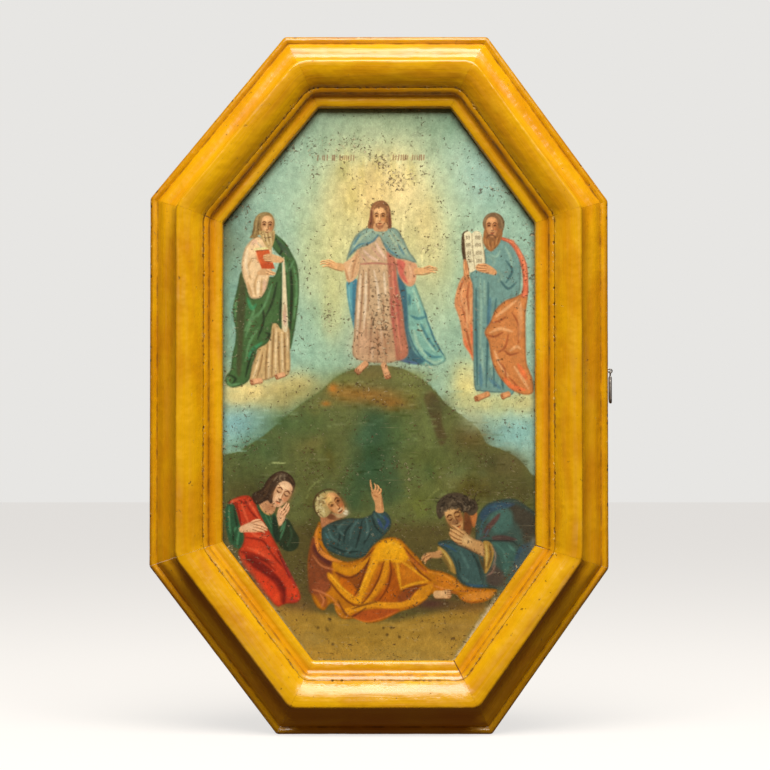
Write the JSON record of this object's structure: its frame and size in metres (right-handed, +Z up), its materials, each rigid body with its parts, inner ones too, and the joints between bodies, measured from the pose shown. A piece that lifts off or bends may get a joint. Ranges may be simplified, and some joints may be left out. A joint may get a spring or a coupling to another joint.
{
  "type": "religious icon",
  "caption": "Painted wooden icon in a tall octagonal frame of deep mitred mouldings, hung flat on a wall, with a small hook hanging in an eye on its right edge.",
  "frame": {"origin": "centre of the flat back, on the wall plane", "axes": "+Z up, +X to the right seen from the front, the picture faces -Y and the wall is on the +Y side"},
  "size_m": [0.4319, 0.052, 0.65],
  "materials": {
    "mustard_enamel": "glossy mustard-yellow oil enamel over wood, brushed, with worn rims and dirt in the hollows",
    "painted_wood": "oil paint on a primed board, pitted and worn, bare aged wood behind",
    "grey_steel": "dull grey steel wire"
  },
  "bodies": {
    "root": {"frame_top": "mustard_enamel", "frame_upper_right": "mustard_enamel", "frame_right": "mustard_enamel", "frame_lower_right": "mustard_enamel", "frame_bottom": "mustard_enamel", "frame_lower_left": "mustard_enamel", "frame_left": "mustard_enamel", "frame_upper_left": "mustard_enamel", "slip_top": "mustard_enamel", "slip_upper_right": "mustard_enamel", "slip_right": "mustard_enamel", "slip_lower_right": "mustard_enamel", "slip_bottom": "mustard_enamel", "slip_lower_left": "mustard_enamel", "slip_left": "mustard_enamel", "slip_upper_left": "mustard_enamel", "painted_board": "painted_wood", "screw_eye": "grey_steel", "hook": "grey_steel"}
  },
  "joints": []
}
